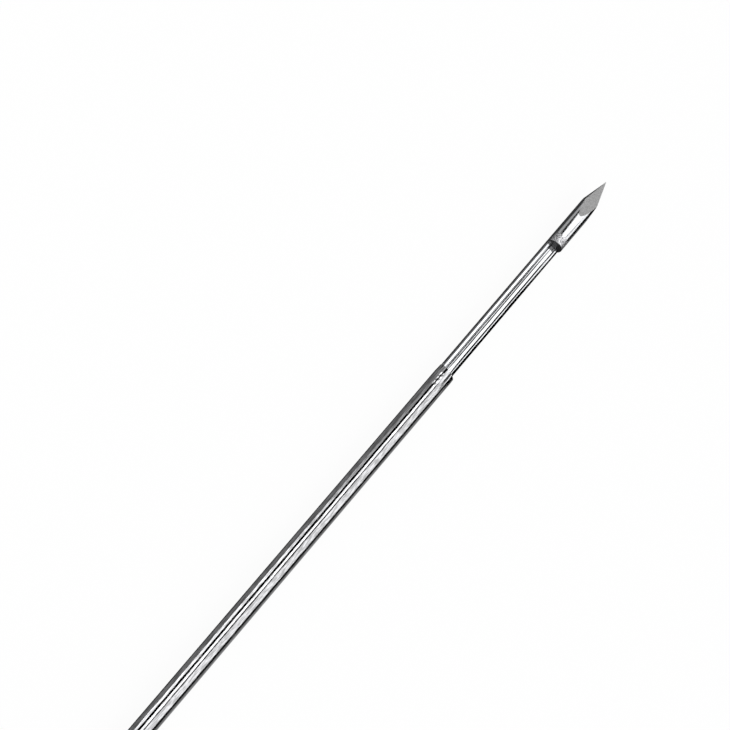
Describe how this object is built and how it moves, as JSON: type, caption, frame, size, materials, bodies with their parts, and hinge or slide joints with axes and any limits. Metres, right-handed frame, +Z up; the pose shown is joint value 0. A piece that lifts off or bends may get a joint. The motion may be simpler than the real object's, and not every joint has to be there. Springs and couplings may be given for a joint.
{
  "type": "medical needle",
  "caption": "Core biopsy needle: a solid stylet with a specimen notch and a ground trocar tip, inside a thin-walled cannula that slides over the notch.",
  "frame": {"origin": "middle of the part's length, on the surface that it lies on, straight below the needle's axis", "axes": "+X along the needle towards its point, +Y across the hubs, +Z up, the way the specimen notch opens"},
  "size_m": [0.1234, 0.014, 0.005],
  "materials": {
    "stylet_steel": "bright drawn stainless steel, matte where it is ground",
    "cannula_steel": "drawn stainless steel tube, lightly scratched lengthwise",
    "hub_plastic": "plain moulded ABS, satin"
  },
  "bodies": {
    "stylet_set": {"stylet": "stylet_steel", "stylet_hub": "hub_plastic"},
    "cannula_set": {"cannula": "cannula_steel", "cannula_hub": "hub_plastic"}
  },
  "joints": [
    {"name": "cannula_slide", "type": "slide", "parent": "stylet_set", "child": "cannula_set", "axis": [1, 0, 0], "range_m": [0, 0.022]}
  ]
}
